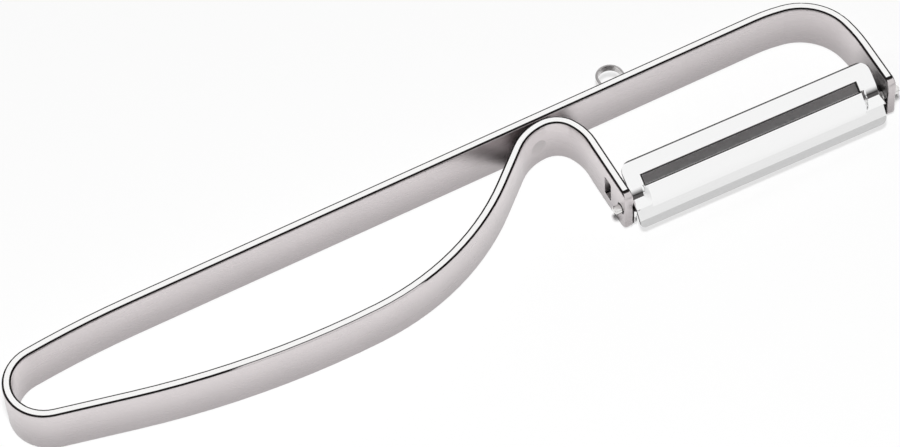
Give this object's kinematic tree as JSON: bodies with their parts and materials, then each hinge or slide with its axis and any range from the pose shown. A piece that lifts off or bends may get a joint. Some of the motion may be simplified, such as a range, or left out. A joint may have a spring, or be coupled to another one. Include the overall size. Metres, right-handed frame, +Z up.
{
  "type": "vegetable peeler",
  "caption": "All-steel vegetable peeler: flat bar bent into an open loop handle, a slotted blade that swivels between two arms, and a side loop for eyes.",
  "frame": {"origin": "centre of the object's box in plan, on the surface that the peeler lies on", "axes": "+X along the handle's straight side, from the loop towards the blade; +Y away from the blade; +Z up, across the flat bar's width"},
  "size_m": [0.2046, 0.0422, 0.0134],
  "materials": {
    "handle_steel": "satin wide faces and bright polished edges",
    "blade_steel": "mirror-bright stamped sheet with a ground front flange",
    "pin_steel": "bright turned steel",
    "eye_steel": "satin inside and bright edges"
  },
  "bodies": {
    "handle": {"handle_band": "handle_steel", "eye_remover": "eye_steel"},
    "blade": {"swivel_blade": "blade_steel", "pivot_pin_left": "pin_steel", "pivot_pin_right": "pin_steel"}
  },
  "joints": [
    {"name": "blade_swivel", "type": "hinge", "parent": "handle", "child": "blade", "pos_m": [0.06722, -0.01496, 0.006], "axis": [0.9997, -0.0262, 0], "range_deg": [-4, 40]}
  ]
}
